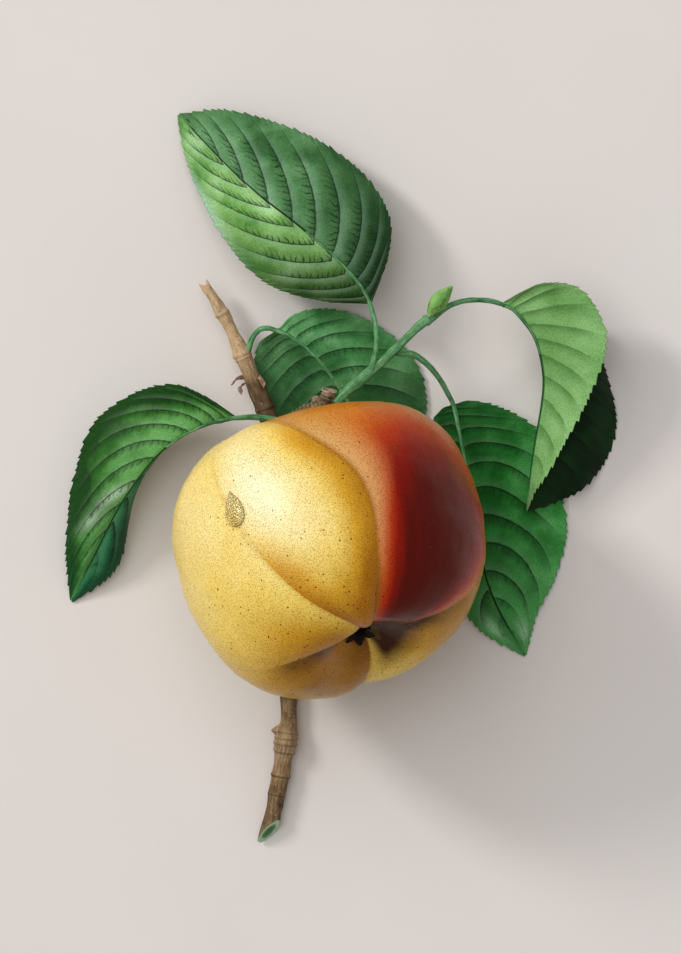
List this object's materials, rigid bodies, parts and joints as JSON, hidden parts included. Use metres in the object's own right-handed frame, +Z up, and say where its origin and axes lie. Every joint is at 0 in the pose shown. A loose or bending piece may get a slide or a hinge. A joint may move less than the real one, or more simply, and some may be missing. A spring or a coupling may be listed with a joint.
{
  "type": "apple",
  "caption": "Ripe ribbed apple with a red cheek on its cut twig, with leaves, spur, green shoot, bud and a drop of water, lying on a surface.",
  "frame": {"origin": "middle of the small flat spot under the fruit, on the surface that it lies on", "axes": "+Z up from the surface; +Y along the twig from its cut end to its tip; +X to the red side of the fruit"},
  "size_m": [0.1502, 0.2, 0.0836],
  "materials": {
    "skin": "waxy yellow skin with a dark red cheek, fine speckle and small dark lenticels",
    "calyx": "dried, nearly black, matte",
    "old_bark": "knobbly grey-brown bark, matte",
    "bark": "smooth to cracked brown bark with growth rings, matte",
    "green_stem": "green, slightly downy",
    "bud": "pale green, satin",
    "leaf": "green leaf with sunken veins, satin above and matte below",
    "dry_scale": "papery, dry",
    "water": "clear water"
  },
  "bodies": {
    "root": {"apple": "skin", "sepal_1": "calyx", "sepal_2": "calyx", "sepal_3": "calyx", "sepal_4": "calyx", "sepal_5": "calyx", "stalk": "old_bark", "twig": "bark", "spur": "old_bark", "shoot": "green_stem", "bud": "bud", "leaf_top": "leaf", "leaf_left": "leaf", "leaf_behind": "leaf", "leaf_right": "leaf", "leaf_right_back": "leaf", "bud_scale_1": "dry_scale", "bud_scale_2": "dry_scale", "bud_scale_3": "dry_scale", "water_drop": "water"}
  },
  "joints": []
}
